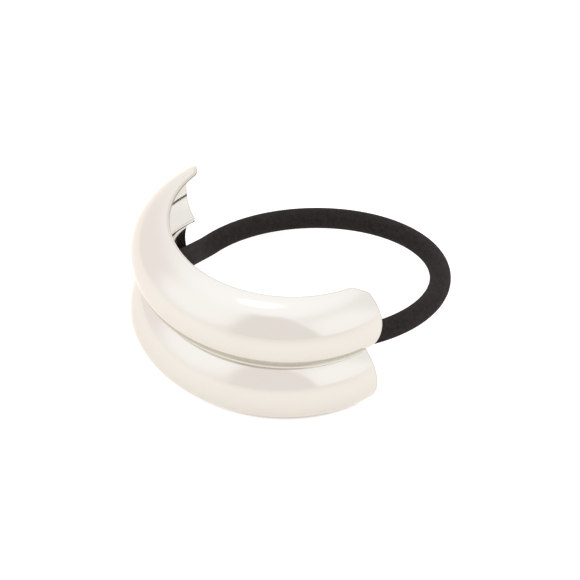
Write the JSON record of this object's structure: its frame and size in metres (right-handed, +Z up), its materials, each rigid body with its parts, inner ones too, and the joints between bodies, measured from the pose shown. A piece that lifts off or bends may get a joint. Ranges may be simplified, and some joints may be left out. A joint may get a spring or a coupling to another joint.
{
  "type": "ponytail cuff",
  "caption": "Polished metal ponytail cuff: a curved hollow shell of two domed bands, with a thick black hair elastic that closes the loop behind.",
  "frame": {"origin": "middle of the whole object's box, on the surface that the cuff's lower rim stands on", "axes": "+Z up along the ponytail; the crown of the cuff faces -Y and the elastic loop lies at +Y"},
  "size_m": [0.055, 0.0632, 0.0268],
  "materials": {
    "silver_metal": "high polish, warm pale silver plate",
    "black_elastic": "fine knitted sheath over rubber, soft matte black"
  },
  "bodies": {
    "root": {"cuff_shell": "silver_metal", "elastic_loop": "black_elastic"}
  },
  "joints": []
}
